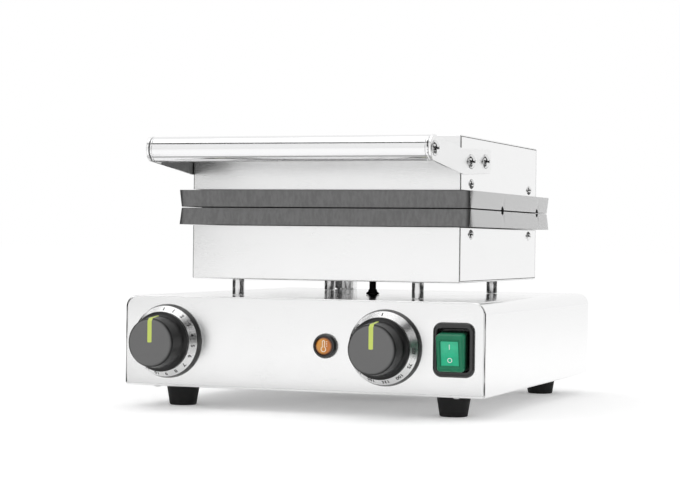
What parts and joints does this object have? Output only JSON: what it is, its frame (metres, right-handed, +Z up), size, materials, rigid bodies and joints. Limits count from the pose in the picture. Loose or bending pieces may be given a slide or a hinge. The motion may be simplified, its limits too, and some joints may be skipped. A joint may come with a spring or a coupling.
{
  "type": "waffle on a stick maker",
  "caption": "Countertop cooker for waffles on a stick: steel base with dials and rocker switch, cast plates with stick channels, and a hinged lid with a bar handle",
  "frame": {"origin": "on the table, under the middle of the whole object", "axes": "+Z up, +Y towards the hinges at the back, +X to the right as seen from the front"},
  "size_m": [0.305, 0.3833, 0.2222],
  "materials": {
    "satin_steel": "satin stainless sheet",
    "polished_steel": "polished stainless steel",
    "zinc": "zinc plated sheet",
    "cast_plate": "dark coated casting, finely grained",
    "knob_black": "fine matt black plastic",
    "bezel_black": "semi-matt black plastic",
    "lens_amber": "clear amber plastic",
    "boot_green": "translucent dark green soft plastic",
    "rubber": "matt black",
    "ceramic": null,
    "mineral_wool": null,
    "heater_alloy": "oxidised heater tube"
  },
  "bodies": {
    "base": {"back_panel": "satin_steel", "base_conduit_fitting": "polished_steel", "base_shell": "satin_steel", "bottom_pan": "satin_steel", "cord_gland": "bezel_black", "foot_back_left": "rubber", "foot_back_right": "rubber", "foot_front_left": "rubber", "foot_front_right": "rubber", "front_panel": "satin_steel", "hinge_pin_left": "polished_steel", "hinge_pin_right": "polished_steel", "lamp_bezel": "bezel_black", "lamp_lens": "lens_amber", "lead_grommet": "rubber", "lid_conduit": "polished_steel", "lower_frame": "zinc", "lower_heater": "heater_alloy", "lower_hinge_leaf_left": "satin_steel", "lower_hinge_leaf_right": "satin_steel", "lower_housing": "satin_steel", "lower_housing_side_left": "satin_steel", "lower_housing_side_right": "satin_steel", "lower_plate": "cast_plate", "lower_wool": "mineral_wool", "post_back_left": "polished_steel", "post_back_right": "polished_steel", "post_front_left": "polished_steel", "post_front_right": "polished_steel", "sensor_lead": "rubber", "switch_body": "bezel_black", "terminal_block": "ceramic", "thermostat_bezel": "bezel_black", "thermostat_case": "bezel_black", "timer_bezel": "bezel_black", "timer_case": "bezel_black"},
    "lid": {"bar_screw_left": "polished_steel", "bar_screw_right": "polished_steel", "bracket_screw_back_left": "polished_steel", "bracket_screw_back_right": "polished_steel", "bracket_screw_front_left": "polished_steel", "bracket_screw_front_right": "polished_steel", "handle_bar": "polished_steel", "handle_bracket_left": "satin_steel", "handle_bracket_right": "satin_steel", "lid_conduit_fitting": "polished_steel", "lid_housing": "satin_steel", "lid_housing_side_left": "satin_steel", "lid_housing_side_right": "satin_steel", "upper_frame": "zinc", "upper_heater": "heater_alloy", "upper_hinge_leaf_left": "satin_steel", "upper_hinge_leaf_right": "satin_steel", "upper_plate": "cast_plate", "upper_wool": "mineral_wool"},
    "timer_knob": {"timer_knob": "knob_black"},
    "thermostat_knob": {"thermostat_knob": "knob_black"},
    "switch": {"switch_boot": "boot_green", "switch_rocker": "bezel_black"}
  },
  "joints": [
    {"name": "lid_hinge", "type": "hinge", "parent": "base", "child": "lid", "pos_m": [0, 0.1412, 0.16335], "axis": [-1, 0, 0], "range_deg": [0, 100], "deforming": ["lid_conduit"]},
    {"name": "timer_turn", "type": "hinge", "parent": "base", "child": "timer_knob", "pos_m": [-0.1143, -0.15635, 0.0541], "axis": [0, 1, 0], "range_deg": [0, 290]},
    {"name": "thermostat_turn", "type": "hinge", "parent": "base", "child": "thermostat_knob", "pos_m": [0.0722, -0.15635, 0.0541], "axis": [0, 1, 0], "range_deg": [0, 306]},
    {"name": "switch_rock", "type": "hinge", "parent": "base", "child": "switch", "pos_m": [0.1278, -0.15315, 0.0541], "axis": [-1, 0, 0], "range_deg": [0, 18]}
  ]
}
